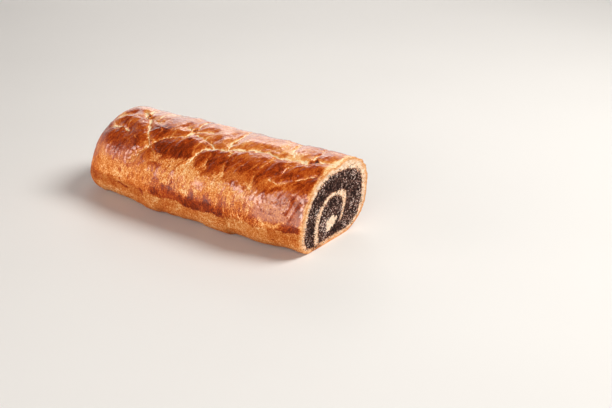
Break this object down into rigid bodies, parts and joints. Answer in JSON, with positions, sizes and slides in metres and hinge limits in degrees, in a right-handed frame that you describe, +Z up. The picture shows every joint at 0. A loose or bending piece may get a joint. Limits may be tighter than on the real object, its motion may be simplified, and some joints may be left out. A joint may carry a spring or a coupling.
{
  "type": "poppy seed roll half",
  "caption": "Half of a baked poppy seed roll on its flat base: cracked brown crust, blunt far end, and a cut face that shows the dark filling and an inner turn of dough.",
  "frame": {"origin": "bottom centre of the whole roll's box, on the surface it rests on", "axes": "+X along the roll toward the cut face, +Z up, +Y across the roll, away from the side the picture shows"},
  "size_m": [0.2194, 0.0806, 0.0562],
  "materials": {
    "crust": "egg-washed baked crust, satin to glossy reddish brown on the crown, pale golden in the cracks and along the sides and foot; pale cream crumb at the cut",
    "poppy_filling": "moist ground poppy seed paste, nearly black with fine pale specks, low gloss"
  },
  "bodies": {
    "root": {"dough": "crust", "poppy_filling": "poppy_filling"}
  },
  "joints": []
}
